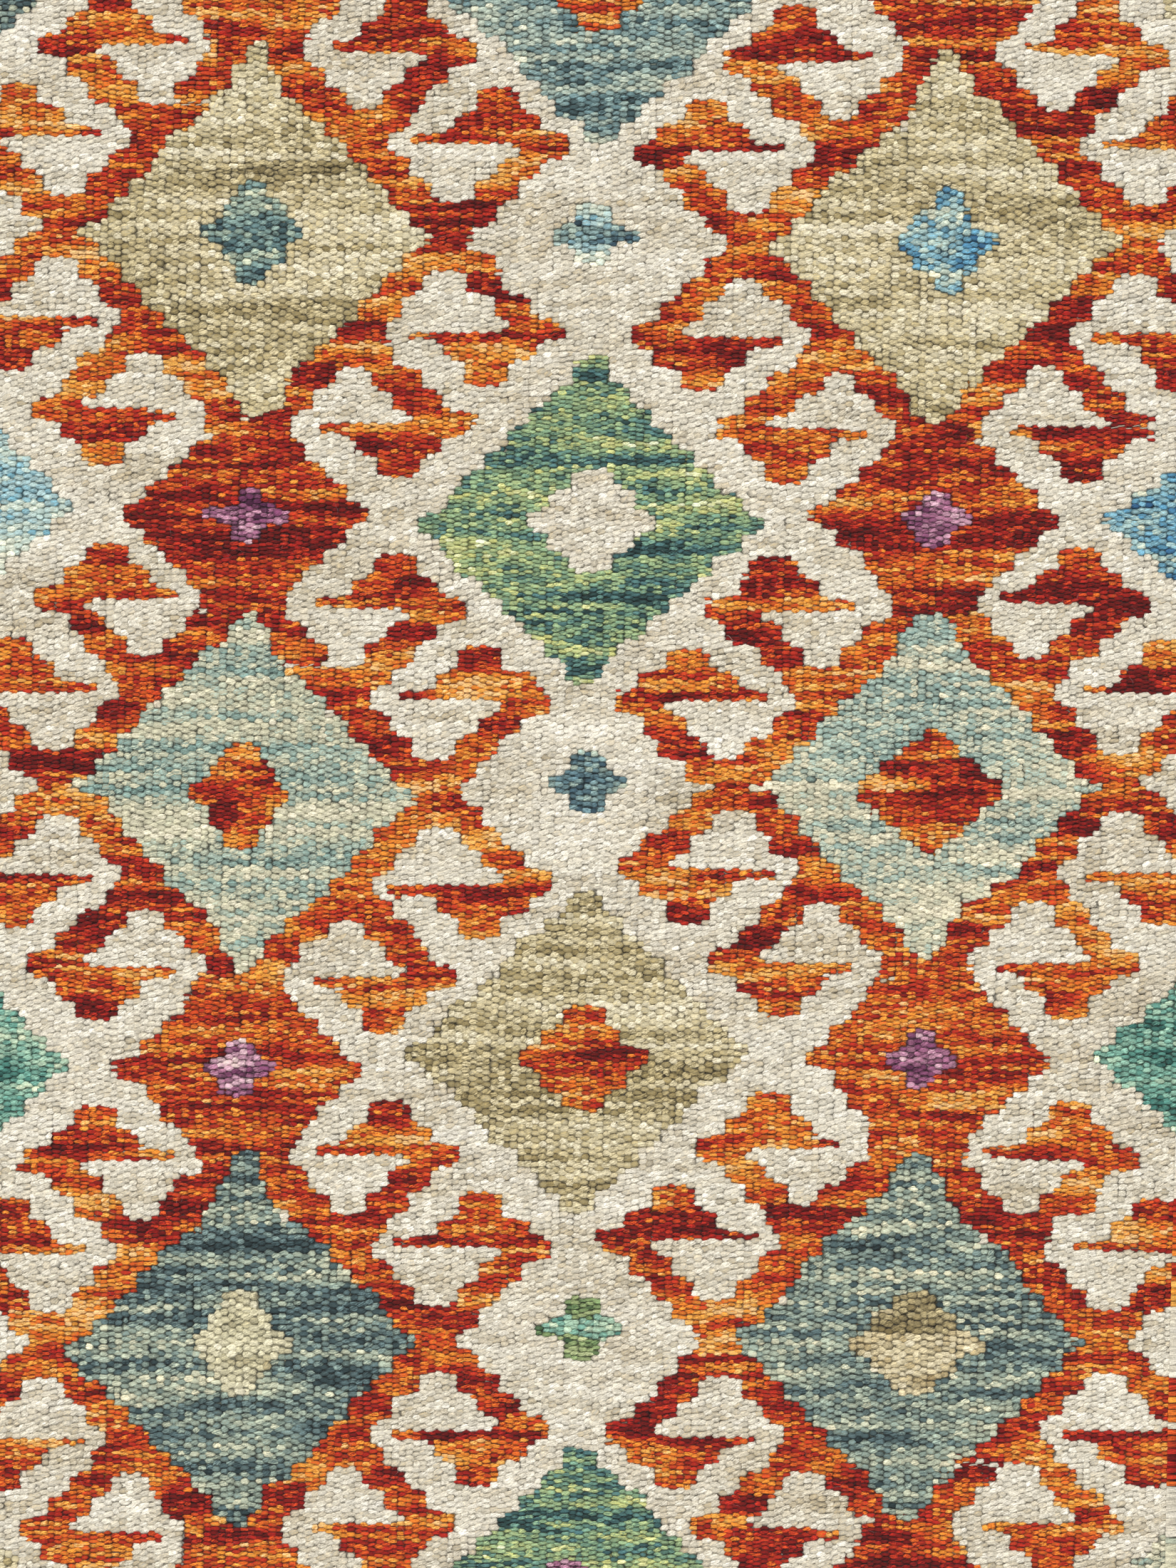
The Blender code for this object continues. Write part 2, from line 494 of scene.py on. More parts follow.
@dataclass
class Chart:
    """The weaver's chart: the wool at each place of the cloth.

    Attributes:
        loom: Counts of the weave.
        seed: Fixes the slips of the hand.
        slip: Share of edges that are one end out.
        waver: How far a bar's edge strays, in steps.
        corner: Cells drawn in at an outward corner.
        smallest: Fewest cells of a run whose corners are drawn in.
        codes: The wool's number for each end and cell, ends first.
        batch: Where each bar is in its wool's range of shades, from -1 to 1; in the ivory ground, the
            painted light and shade of the folds.
        run: Number of the unbroken run of one wool that holds each cell.
        low: Lower edge of each run, in steps from the cloth's middle.
        high: Upper edge of each run.
    """

    loom: Loom
    seed: int = 11
    slip: float = 0.1
    waver: float = 0.09
    corner: int = 3
    smallest: int = 11
    codes: Array = field(init=False)
    batch: Array = field(init=False)
    run: Array = field(init=False)
    low: Array = field(init=False)
    high: Array = field(init=False)

    def __post_init__(self) -> None:
        """Starts with ivory ground all over."""
        self.codes = np.zeros((self.loom.ends, self.loom.rows * CELLS), dtype=np.int16)
        self.batch = np.zeros(self.codes.shape)

    def motifs(self) -> list[Motif]:
        """Every motif of the cloth, in the order in which one covers another.

        Returns:
            The motifs.
        """
        fields = (
            (Wool.BEIGE_LEFT, -48, 26.24, ((0.7, -0.05), (0.55, -0.37), (0.3, 0.19), (0.4, -0.41))),
            (Wool.BEIGE_RIGHT, 48, 26.13, ((-0.07, -0.68), (0.5, -0.17), (-0.35, -0.53), (-0.2, -0.22))),
            (Wool.EGG_LEFT, -48, -0.13, ((1.07, 0.0), (0.07, -0.39), (1.5, 0.19), (0.5, -0.29))),
            (Wool.EGG_RIGHT, 48, 0.13, ((-1.06, -0.7), (-0.57, -0.14), (0.0, 0.19), (-0.28, 0.32))),
            (Wool.TEAL_LEFT, -46, -25.76, ((-0.36, -0.99), (-0.5, -0.73), (-0.57, -0.92), (-0.36, -0.56))),
            (Wool.TEAL_RIGHT, 48, -25.87, ((-0.57, -0.24), (0.07, -0.53), (-0.14, -0.65), (-0.14, -0.2))),
        )
        knots = (
            (Wool.ORANGE, -47, 38.78), (Wool.ORANGE, 48.6, 38.85), (Wool.CRIMSON, -48.2, 12.7),
            (Wool.CRIMSON, 48.4, 12.64), (Wool.ORANGE, -46.6, -13.63), (Wool.ORANGE, 48.6, -12.95),
            (Wool.ORANGE, -46.2, -39.73), (Wool.ORANGE, 48.4, -39.44),
        )
        lozenges = (
            (Wool.SLATE, 0, 37.9), (Wool.GREEN, -0.2, 12.3), (Wool.BEIGE_MIDDLE, 0.2, -12.8),
            (Wool.GREEN, 1, -39.1), (Wool.PALE_BLUE, -96, 13.1), (Wool.SEA, -95, -13.4),
            (Wool.SKY, 96, 12.6), (Wool.SEA, 96, -12.7), (Wool.TEAL_LEFT, -96, 39),
            (Wool.BEIGE_LEFT, 96, 39), (Wool.BEIGE_LEFT, -95, -39), (Wool.EGG_LEFT, 96, -39),
        )
        hearts = (
            (Shape.HEART, Wool.BLUE, -48, 26.1), (Shape.HEART, Wool.SKY, 48.9, 25.75),
            (Shape.HEART, Wool.FRAME, -47.6, -0.56), (Shape.TALL_HEART, Wool.FRAME, 48, -0.3),
            (Shape.HEART, Wool.CREAM, -46.4, -26.6), (Shape.WIDE_HEART, Wool.SAND, 48.4, -26.5),
            (Shape.WIDE_HEART, Wool.ORANGE, 0, 38.2), (Shape.WIDE_HEART, Wool.IVORY, -0.2, 12.4),
            (Shape.WIDE_HEART, Wool.ORANGE, 0.6, -13.08), (Shape.WIDE_HEART, Wool.MAUVE, 1, -39.4),
            (Shape.CROSS, Wool.MAUVE, -48, 12.7), (Shape.CROSS, Wool.MAUVE, 48, 12.64),
            (Shape.CROSS, Wool.MAUVE, -47, -13.5), (Shape.CROSS, Wool.MAUVE, 48, -13),
            (Shape.WIDE_CROSS, Wool.PALE_BLUE, -0.8, 26.0), (Shape.BEAM, Wool.STEEL, -0.8, 26.0),
            (Shape.WIDE_CROSS, Wool.STEEL, 0.5, 0), (Shape.WIDE_CROSS, Wool.MOSS, 1.1, -25.9),
            (Shape.BEAM, Wool.SEA, 1.1, -25.8), (Shape.LINE, Wool.OLIVE, -46.8, 29.0),
        )
        made = [Motif(Shape.HOOKED_FRAME, Wool.FRAME, x, y, drifts) for _, x, y, drifts in fields]
        sunk = (0.22, 0.22, 0.1, 0.1)
        for wool, x, y, drifts in fields:
            lowered = tuple((across, up - drop) for (across, up), drop in zip(drifts, sunk))
            made.append(Motif(Shape.FIELD, wool, x, y, lowered))
        made += [Motif(Shape.KNOT, wool, x, y) for wool, x, y in knots]
        made += [Motif(Shape.LOZENGE, wool, x, y) for wool, x, y in lozenges]
        made += [Motif(shape, wool, x, y) for shape, wool, x, y in hearts]
        tips = (
            (Wool.BEIGE_LEFT, -47.4, 25.4), (Wool.BEIGE_RIGHT, 48.2, 25.15),
            (Wool.TEAL_LEFT, -46.2, -27.1), (Wool.GREEN, -0.2, 10.6),
        )
        made += [Motif(Shape.TIP, wool, x, y, ways=(1,)) for wool, x, y in tips]
        return made + [Motif(Shape.CAP, Wool.OLIVE, 48.4, -26.5, ways=(1,))]

    def edge(self, place: float, key: int) -> float:
        """A bar's edge as the hand wove it, the same for the two bars that share it.

        Args:
            place: The edge as charted, in steps.
            key: The quarter's own number.

        Returns:
            The edge, in steps.
        """
        if place == 0:
            return 0.0
        return place + self.waver * (2 * roll(round(place * CELLS), key, self.seed) - 1)

    def slipped(self, number: int, key: int) -> int:
        """Ends by which an upright edge is out: 1, 0 or -1."""
        drawn = roll(number, key, self.seed + 1)
        return int(drawn > 1 - self.slip / 2) - int(drawn < self.slip / 2)

    def fill(self, wool: Wool, left: float, right: float, low: float, high: float, batch: float) -> None:
        """Weaves a block, whose level edges are toothed because neighbouring ends take turns.

        Args:
            wool: The block's wool.
            left: Left edge, in ends from the cloth's middle.
            right: Right edge, in ends.
            low: Lower edge, in steps from the cloth's middle.
            high: Upper edge, in steps.
            batch: Where the block is in its wool's range of shades.
        """
        first = max(0, math.floor(left + 0.5) + self.loom.ends // 2)
        last = min(self.loom.ends, math.floor(right + 0.5) + self.loom.ends // 2)
        bottom = round((low + self.loom.rows / 2) * CELLS)
        top = round((high + self.loom.rows / 2) * CELLS)
        for end in range(first, last):
            tooth = 1 if end % 2 else -1
            cells = slice(max(0, bottom + tooth), max(0, top + tooth))
            self.codes[end, cells], self.batch[end, cells] = LOTS.index(wool), batch

    def weave(self) -> None:
        """Weaves every motif, then finds the unbroken runs of wool along each end."""
        self.bleach()
        for number, motif in enumerate(self.motifs()):
            for bar_number, bar in enumerate(motif.shape.value):
                for side in (-1, 1):
                    for way in motif.ways:
                        self.weave_bar(motif, bar, side, way, 37 * number + 3 * side + way, bar_number)
        self.find_runs()
        self.round_corners()
        self.find_runs()

    def bleach(self) -> None:
        """Paints the light and shade of the folds onto the ground as a few paler and darker patches."""
        ends, cells = np.meshgrid(*(np.arange(count) for count in self.codes.shape), indexing="ij")
        x = self.loom.middle(ends)
        y = ((cells + 0.5) / CELLS - self.loom.rows / 2) * self.loom.step
        for patch in PAINTED_FOLD_LIGHT:
            self.batch += patch.over(x, y)

    def round_corners(self) -> None:
        """Draws in the outward corners of the bars, where the weft turns back round an end."""
        old, cells = self.codes.copy(), self.codes.shape[1]
        for end in range(1, self.loom.ends - 1):
            starts = np.flatnonzero(old[end, 1:] != old[end, :-1]) + 1
            bounds = [0, *starts.tolist(), cells]
            for low, high in zip(bounds, bounds[1:]):
                if high - low < self.smallest:
                    continue
                for edge, inside, outside in ((low, low, low - 1), (high, high - 1, high)):
                    if not 0 <= outside < cells:
                        continue
                    level = np.clip(inside + (2 if edge == low else -2), 0, cells - 1)
                    beside = [old[end + way, level] == old[end, inside] for way in (-1, 1)]
                    if beside[0] == beside[1]:
                        continue
                    trim = slice(low, low + self.corner) if edge == low else slice(high - self.corner, high)
                    self.codes[end, trim] = old[end, outside]
                    self.batch[end, trim] = self.batch[end, outside]

    def weave_bar(self, motif: Motif, bar: Bar, side: int, way: int, key: int, number: int) -> None:
        """Weaves a bar in one quarter of its motif.

        Args:
            motif: The motif.
            bar: The bar as charted.
            side: 1 for the right half, -1 for the left.
            way: 1 for the upper half, -1 for the lower.
            key: The quarter's own number, which fixes its slips.
            number: The bar's number in its shape.
        """
        outer = bar.outer + self.slipped(number, key)
        inner = bar.inner + (self.slipped(number + 50, key) if bar.inner else 0)
        low, high = self.edge(bar.low, key), self.edge(bar.high, key)
        across, up = motif.drift(side, way)
        start = up if bar.low else (up + motif.drift(side, -way)[1]) / 2
        sides = sorted((motif.across + across + side * inner, motif.across + across + side * outer))
        if not bar.inner:
            sides = sorted((motif.across, sides[0] if side < 0 else sides[1]))
        levels = sorted((motif.up + start + way * low, motif.up + up + way * high))
        shift = 2 * roll(number + 100, key, self.seed + 2) - 1
        self.fill(motif.wool, *sides, *levels, 0.0 if motif.wool is Wool.IVORY else shift)

    def find_runs(self) -> None:
        """Numbers each run of one wool along an end, and finds its lower and upper edge in steps."""
        cells = self.codes.shape[1]
        starts = np.ones(self.codes.shape, dtype=bool)
        starts[:, 1:] = self.codes[:, 1:] != self.codes[:, :-1]
        flat = starts.ravel()
        self.run = (np.cumsum(flat) - 1).reshape(self.codes.shape)
        first = np.flatnonzero(flat)
        last = np.append(first[1:], flat.size)
        self.low = (first % cells) / CELLS - self.loom.rows / 2
        self.high = ((last - 1) % cells + 1) / CELLS - self.loom.rows / 2

    def cell(self, up: Array) -> Array:
        """The cell at each height, in steps from the cloth's middle."""
        found = np.floor((up + self.loom.rows / 2) * CELLS).astype(int)
        return np.clip(found, 0, self.codes.shape[1] - 1)


class Bench:
    """Adds nodes to one tree."""

    def __init__(self, tree: bpy.types.NodeTree) -> None:
        """Keeps the tree."""
        self.tree = tree

    def add(
        self, kind: str, settings: dict[str, Any] | None = None, sockets: dict[Any, Any] | None = None
    ) -> bpy.types.Node:
        """Adds a node.

        Args:
            kind: The node's type.
            settings: Its properties, set first.
            sockets: Values or links of its inputs, by name or number.

        Returns:
            The node.
        """
        node = self.tree.nodes.new(kind)
        for key, value in (settings or {}).items():
            setattr(node, key, value)
        self.feed(node, sockets or {})
        return node

    def feed(self, node: bpy.types.Node, sockets: dict[Any, Any]) -> None:
        """Links sockets and shades to a node's inputs, or sets the inputs' values.

        Args:
            node: The node.
            sockets: What each input gets, by name or number.
        """
        for key, value in sockets.items():
            source = value.socket if isinstance(value, Shade) else value
            if isinstance(source, bpy.types.NodeSocket):
                self.tree.links.new(source, node.inputs[key])
            else:
                node.inputs[key].default_value = source

    def math(self, operation: str, *values: Any) -> "Shade":
        """Adds a Math node over numbers and shades."""
        node = self.add("ShaderNodeMath", {"operation": operation}, dict(enumerate(values)))
        return Shade(self, node.outputs[0])

    def attribute(self, name: str, output: str) -> bpy.types.NodeSocket:
        """One of the mesh's attributes."""
        return self.add("ShaderNodeAttribute", {"attribute_name": name}).outputs[output]

    def parts(self, vector: Any) -> list["Shade"]:
        """The three parts of a vector."""
        node = self.add("ShaderNodeSeparateXYZ", None, {0: vector})
        return [Shade(self, output) for output in node.outputs]

    def vector(self, *parts: Any) -> bpy.types.NodeSocket:
        """A vector of numbers and shades."""
        return self.add("ShaderNodeCombineXYZ", None, dict(enumerate(parts))).outputs[0]

    def noise(self, vector: Any, scale: float, detail: float = 2.0) -> "Shade":
        """Noise from 0 to 1 over a vector."""
        sockets = {"Vector": vector, "Scale": scale, "Detail": detail}
        return Shade(self, self.add("ShaderNodeTexNoise", None, sockets).outputs["Fac"])

    def vectors(self, operation: str, sockets: dict[Any, Any]) -> bpy.types.Node:
        """Adds a node of vector maths."""
        return self.add("ShaderNodeVectorMath", {"operation": operation}, sockets)

    def scaled(self, color: Any, factor: Any) -> bpy.types.NodeSocket:
        """A color made brighter or darker, or a vector made longer or shorter."""
        return self.vectors("SCALE", {0: color, "Scale": factor}).outputs[0]

    def mixed(self, factor: Any, first: Any, second: Any) -> bpy.types.NodeSocket:
        """One color mixed into another."""
        sockets = {0: factor, 6: first, 7: second}
        return self.add("ShaderNodeMix", {"data_type": "RGBA"}, sockets).outputs[2]

    def relief(self, strength: float, distance: float, height: "Shade") -> bpy.types.NodeSocket:
        """The normal of a height from 0 to 1."""
        sockets = {"Strength": strength, "Distance": distance, "Height": height}
        return self.add("ShaderNodeBump", None, sockets).outputs[0]


class Shade:
    """A number in a material. Its operators add Math nodes."""

    def __init__(self, bench: Bench, socket: bpy.types.NodeSocket) -> None:
        """Wraps an output."""
        self.bench, self.socket = bench, socket

    def __add__(self, other: Any) -> "Shade":
        """Adds."""
        return self.bench.math("ADD", self, other)

    def __sub__(self, other: Any) -> "Shade":
        """Subtracts."""
        return self.bench.math("SUBTRACT", self, other)

    def __rsub__(self, other: Any) -> "Shade":
        """Subtracts this from a number."""
        return self.bench.math("SUBTRACT", other, self)

    def __mul__(self, other: Any) -> "Shade":
        """Multiplies."""
        return self.bench.math("MULTIPLY", self, other)

    __radd__, __rmul__ = __add__, __mul__

    def fraction(self) -> "Shade":
        """What is over the whole number below."""
        return self.bench.math("FRACT", self)

    def floor(self) -> "Shade":
        """The whole number below."""
        return self.bench.math("FLOOR", self)

    def between(self, low: float, high: float) -> "Shade":
        """0 at low and 1 at high, smooth between them."""
        settings = {"interpolation_type": "SMOOTHSTEP"}
        sockets = {"Value": self, "From Min": low, "From Max": high}
        return Shade(self.bench, self.bench.add("ShaderNodeMapRange", settings, sockets).outputs[0])


def new_material(name: str) -> tuple[bpy.types.Material, Bench, bpy.types.Node]:
    """A node material, the bench over its tree, and its shader.

    Args:
        name: Its name.

    Returns:
        The material, the bench and the shader.
    """
    material = bpy.data.materials.new(name)
    material.use_nodes = True
    return material, Bench(material.node_tree), material.node_tree.nodes["Principled BSDF"]


@dataclass(frozen=True)
class SpunWool:
    """Wool yarn on the face: soft, matt, and made of fine twisted strands.

    Attributes:
        roughness: Usual roughness.
        specular: Strength of its mirror light.
        strands: Strands across one grain.
        painted_hollow_shade: Brightness of the painted shade at a grain's foot, which stands in for the
            shadow between grains.
        nap: Height of the strands and fibres.
        fibres: Fibres to a metre.
        contrast: Span of the noise that becomes dark to pale.
        pale: Luminance from which wool counts as pale, and at which it is wholly so.
        sheen: Weight and roughness of the soft sheen at glancing angles.
    """

    roughness: float = 0.82
    specular: float = 0.2
    strands: float = 3.4
    painted_hollow_shade: float = 0.75
    nap: float = 0.0006
    fibres: float = 1300.0
    contrast: tuple[float, float] = (0.32, 0.68)
    pale: tuple[float, float] = (0.15, 0.7)
    sheen: tuple[float, float] = (0.07, 0.5)

    def build(self) -> bpy.types.Material:
        """Makes the material.

        Returns:
            The material.
        """
        material, bench, shader = new_material("spun_wool")
        tone, ply = bench.attribute("tone", "Color"), bench.attribute("ply", "Color")
        x, y, z = bench.parts(bench.attribute("local", "Vector"))
        grain = Shade(bench, bench.attribute("grain", "Fac"))
        place = bench.add("ShaderNodeTexCoord").outputs["Object"]
        fuzz = bench.noise(place, self.fibres, 3.0).between(*self.contrast)
        other = (grain * 17.0).fraction()
        twisted = y - x * (0.25 + 0.6 * other) + 0.7 * (grain - 0.5)
        twist = bench.vector(x * 1.1 + grain * 61.0, twisted * self.strands, grain * 23.0)
        strand = bench.noise(twist, 1.0, 3.0).between(*self.contrast)
        seam = twisted + 0.9 * (strand - 0.5)
        both = bench.mixed((strand + 0.4 * fuzz).between(0.5, 0.9), tone, ply)
        luminance = bench.vectors("DOT_PRODUCT", {0: both, 1: LUMA}).outputs["Value"]
        pale = Shade(bench, luminance).between(*self.pale)
        # painted shade: towards its foot a grain turns to its squared, dimmed colour, in place of the
        # shadow between grains; pale wool less so
        foot = (z + 0.4 * (strand - 0.5)).between(0.08, 0.82)
        # painted highlight and shade: each grain is brighter in its middle and darker towards its edges, as
        # a lit dome would be; pale wool less so
        crest = (1.0 - 0.75 * x * x - 0.8 * y * y + 0.3 * (strand - 0.5)).between(0.0, 1.1)
        fibres = (0.6 * (strand - 0.5) + 0.36 * (fuzz - 0.5)) * (1.0 - 0.3 * pale)
        light = (0.92 + fibres) * (1.0 + (crest - 0.66) * (1.5 - 1.2 * pale))
        # the colour of the painted shade at the foot
        painted_foot_shade = bench.vectors("MULTIPLY", {0: both, 1: both}).outputs[0]
        soft = bench.mixed(0.8, bench.scaled(painted_foot_shade, self.painted_hollow_shade), both)
        looks = {
            "Base Color": bench.scaled(bench.mixed(foot, soft, both), light),
            "Roughness": self.roughness + 0.1 * (fuzz - 0.5),
        }
        height = 0.55 * strand + 0.35 * fuzz + 0.2 * bench.math("ABSOLUTE", seam).between(0.0, 0.3)
        looks |= {"Normal": bench.relief(0.8, self.nap, height), "Specular IOR Level": self.specular}
        looks |= {"Sheen Weight": self.sheen[0], "Sheen Roughness": self.sheen[1]}
        bench.feed(shader, looks)
        return material


@dataclass(frozen=True)
class WovenBack:
    """The cloth's own body: wool under the grains, darkened as painted shade, and the whole weave on the
    underside.

    Attributes:
        roughness: Usual roughness.
        specular: Strength of its mirror light.
        height: Height of the woven grains.
    """

    roughness: float = 0.86
    specular: float = 0.25
    height: float = 0.0007

    def build(self) -> bpy.types.Material:
        """Makes the material, whose grains follow the mesh's own count of ends and picks.

        Returns:
            The material.
        """
        material, bench, shader = new_material("woven_back")
        tone = bench.attribute("tone", "Color")
        ends, picks, _ = bench.parts(bench.attribute("weave", "Vector"))
        column = ends.floor()
        level = picks + 0.5 * bench.math("FLOORED_MODULO", column, 2.0)
        across, up = ends.fraction() * 2.0 - 1.0, level.fraction() * 2.0 - 1.0
        dome = bench.math("MAXIMUM", 1.0 - 0.8 * across * across - 0.85 * up * up, 0.0)
        dome = bench.math("SQRT", dome)
        own = bench.add("ShaderNodeTexWhiteNoise", {"noise_dimensions": "2D"})
        bench.feed(own, {"Vector": bench.vector(column, level.floor(), 0.0)})
        grain = Shade(bench, own.outputs["Value"])
        strand = bench.noise(bench.vector(ends * 1.2, picks * 4.0, grain * 9.0), 1.0, 2.0)
        # painted highlight and shade: each woven grain of the underside is brighter where dome is high, in
        # its middle, and darker at its edges
        light = (0.42 + 0.5 * dome) * (0.8 + 0.3 * grain) * (0.75 + 0.5 * strand)
        looks = {
            "Base Color": bench.scaled(tone, light),
            "Roughness": self.roughness + 0.1 * (strand - 0.5),
            "Normal": bench.relief(0.9, self.height, dome + 0.15 * strand),
            "Specular IOR Level": self.specular,
        }
        bench.feed(shader, looks)
        return material


@dataclass(frozen=True)
class PlainPaper:
    """The pale studio floor: matt paper with a barely visible tooth.

    Attributes:
        color: Its colour.
        roughness: Its roughness.
        tooth: Grains of its tooth to a metre.
    """

    color: tuple[float, float, float] = (0.8, 0.79, 0.77)
    roughness: float = 0.9
    tooth: float = 90.0

    def build(self) -> bpy.types.Material:
        """Makes the material.

        Returns:
            The material.
        """
        material, bench, shader = new_material("plain_paper")
        tooth = bench.noise(bench.add("ShaderNodeTexCoord").outputs["Object"], self.tooth)
        color = bench.scaled(self.color, 0.97 + 0.06 * tooth)
        bench.feed(shader, {"Base Color": color, "Roughness": self.roughness})
        return material


def mesh_of(
    name: str, points: Array, faces: Sequence[Sequence[int]], material: bpy.types.Material | None = None
) -> bpy.types.Mesh:
    """A smooth mesh from points and faces, in its material if it has one.

    Args:
        name: Its name.
        points: Its points, one to a row.
        faces: The numbers of each face's points.
        material: Its material.

    Returns:
        The mesh.
    """
    mesh = bpy.data.meshes.new(name)
    mesh.from_pydata(points.tolist(), [], [list(face) for face in faces])
    mesh.shade_smooth()
    if material:
        mesh.materials.append(material)
    return mesh


def placed(name: str, data: Any) -> bpy.types.Object:
    """A new object over a mesh, a light or a camera, linked into the scene."""
    thing = bpy.data.objects.new(name, data)
    bpy.context.scene.collection.objects.link(thing)
    return thing


def put(mesh: bpy.types.Mesh, name: str, values: Array, domain: str = "POINT") -> None:
    """Stores an attribute on a mesh, with one value or row to each item of the domain.

    Args:
        mesh: The mesh.
        name: The attribute's name.
        values: Its values.
        domain: What they belong to.
    """
    kind = KINDS.get(name, "FLOAT_VECTOR")
    slot = {"FLOAT_COLOR": "color", "FLOAT_VECTOR": "vector"}.get(kind, "value")
    layer = mesh.attributes.new(name, kind, domain)
    layer.data.foreach_set(slot, np.ascontiguousarray(values).ravel())


def got(mesh: bpy.types.Mesh, name: str) -> Array:
    """Reads a vector attribute of a mesh's points, one to a row."""
    values = np.empty(3 * len(mesh.vertices), dtype=np.float32)
    mesh.attributes[name].data.foreach_get("vector", values)
    return values.reshape(-1, 3)


def set_bake(mesh: bpy.types.Mesh, places: Array) -> None:
    """Gives each corner of a mesh its place in the bake."""
    mesh.uv_layers.new(name="OFBake").data.foreach_set("uv", places.astype(np.float32).ravel())


def strips(rings: int, around: int, sides: int, outward: bool = True, start: int = 0) -> Faces:
    """Faces between rings of points.

    Args:
        rings: Number of rings.
        around: Points in each ring.
        sides: Faces between two rings: as many as the points where the rings are closed.
        outward: Whether a face runs along its ring last, which turns it over.
        start: Number of the first point.

    Returns:
        The faces, ring by ring.
    """
    made = []
    for ring in range(rings - 1):
        for i in range(sides):
            a, b = (start + around * ring + number % around for number in (i, i + 1))
            made.append((a, a + around, b + around, b) if outward else (a, b, b + around, a + around))
    return made


def draw_grain(rng: Rng) -> tuple[Array, Faces]:
    """A weft float: a closed six-sided dome, plump in the middle and pointed at both sides.

    Args:
        rng: Draws what is its own.

    Returns:
        Its points and faces.
    """
    foot = np.array([(1, 0), (0.5, 1), (-0.5, 1), (-1, 0), (-0.5, -1), (0.5, -1)], dtype=float)
    crown = np.array([(0.5, 0.42), (-0.5, 0.42), (-0.5, -0.42), (0.5, -0.42)])
    tips = np.array([0.22, 0.0, 0.0, 0.22, 0.0, 0.0])[:, None]
    faces = [(5, 4, 3, 2, 1, 0), (1, 2, 7, 6), (4, 5, 9, 8), (6, 7, 8, 9)]
    faces += [(0, 1, 6), (0, 6, 9), (0, 9, 5), (3, 7, 2), (3, 8, 7), (3, 4, 8)]
    below = np.column_stack([foot + rng.uniform(-0.12, 0.12, (6, 2)), tips])
    above = crown + rng.uniform(-0.11, 0.11, (4, 2))
    above = np.column_stack([above, 0.93 + rng.uniform(-0.11, 0.11, 4)])
    return np.concatenate([below, above]), faces


def draw_wrap(rng: Rng) -> tuple[Array, Faces]:
    """A weft that turns round a selvedge, out along +X, as an open rounded band.

    Args:
        rng: Draws what is its own.

    Returns:
        Its points and faces.
    """
    path = [(0.0, 0.86), (0.4, 1.0), (0.78, 0.8), (1.0, 0.0), (0.78, -0.8), (0.4, -0.96), (0.0, -0.9)]
    points = []
    for x, z in path:
        out = np.array([x - 0.4, z]) / math.hypot(x - 0.4, z)
        for angle in (-1.0, -0.36, 0.36, 1.0):
            bulge = 0.16 * (1 - angle * angle) + rng.uniform(-0.015, 0.015)
            points.append((x + out[0] * bulge * 0.6, angle + 0.12 * z, z + out[1] * bulge))
    return np.array(points), strips(len(path), 4, 3)


def draw_stub(rng: Rng) -> tuple[Array, Faces]:
    """A cut warp end along +Y: a six-sided cord whose tip frays a little.

    Args:
        rng: Draws what is its own.

    Returns:
        Its points and faces.
    """
    points = []
    for ring, (y, radius) in enumerate(((-0.6, 0.8), (0.35, 0.9), (0.8, 1.0))):
        bend = rng.uniform(-0.25, 0.25, 2) * ring
        for i in range(6):
            angle = math.pi / 3 * i
            r = radius * rng.uniform(0.86, 1.14)
            reach = y + (rng.uniform(-0.15, 0.2) if ring == 2 else 0)
            points.append((bend[0] + r * math.cos(angle), reach, bend[1] + r * math.sin(angle)))
    points.append((bend[0], 0.95 + rng.uniform(0, 0.2), bend[1]))
    return np.array(points), strips(3, 6, 6) + [(12 + i, 18, 12 + (i + 1) % 6) for i in range(6)]


def draw_hair(rng: Rng) -> tuple[Array, Faces]:
    """A loose fibre: a three-sided thread one unit long that curls over the face.

    Args:
        rng: Draws what is its own.

    Returns:
        Its points and faces.
    """
    bend, curl, lift = rng.uniform(-0.5, 0.5), rng.uniform(-0.9, 0.9), rng.uniform(0.1, 0.35)
    points = []
    for i in range(6):
        t = i / 5
        x, y = t - 0.5, bend * (t - 0.5) ** 2 * 2 + curl * (t - 0.5) ** 3 * 4
        z = lift * math.sin(math.pi * t) - 0.03
        radius = 0.011 * (1 - 0.5 * abs(2 * t - 1))
        for k in range(3):
            angle = 2 * math.pi * k / 3
            points.append((x, y + radius * math.cos(angle), z + radius * math.sin(angle)))
    return np.array(points), strips(6, 3, 3, outward=False) + [(2, 1, 0), (15, 16, 17)]


class Form(Enum):
    """Small shapes that repeat: what draws one, how many differ, and the seed of the first."""

    GRAIN = (draw_grain, 8, 5)
    WRAP = (draw_wrap, 3, 45)
    STUB = (draw_stub, 4, 65)
    HAIR = (draw_hair, 8, 85)

    def shapes(self) -> list[bpy.types.Object]:
        """Objects of the form, which keep their own coordinates in the attribute local.

        Returns:
            The objects.
        """
        draw, count, seed = self.value
        made = []
        for number in range(count):
            name = f"{self.name.lower()}_{number}"
            points, faces = draw(np.random.default_rng(seed + number))
            mesh = mesh_of(name, points, faces)
            put(mesh, "local", points)
            if self is Form.GRAIN:
                mesh.attributes.new("sharp_face", "BOOLEAN", "FACE").data[0].value = True
            made.append(bpy.data.objects.new(name, mesh))
        return made

    def chosen(self, columns: Columns, rng: Rng) -> Columns:
        """Adds to columns of points the shape that each takes and a random number of its own.

        Args:
            columns: What the points carry. The yarn's second strand (ply) is the first (tone)
                unless they say otherwise.
            rng: Draws the choices.

        Returns:
            The columns.
        """
        count = len(columns["tone"])
        form = rng.integers(0, self.value[1], count).astype(np.int32)
        first = {"tone": columns["tone"], "ply": columns["tone"]}
        return first | columns | {"form": form, "grain": rng.random(count)}


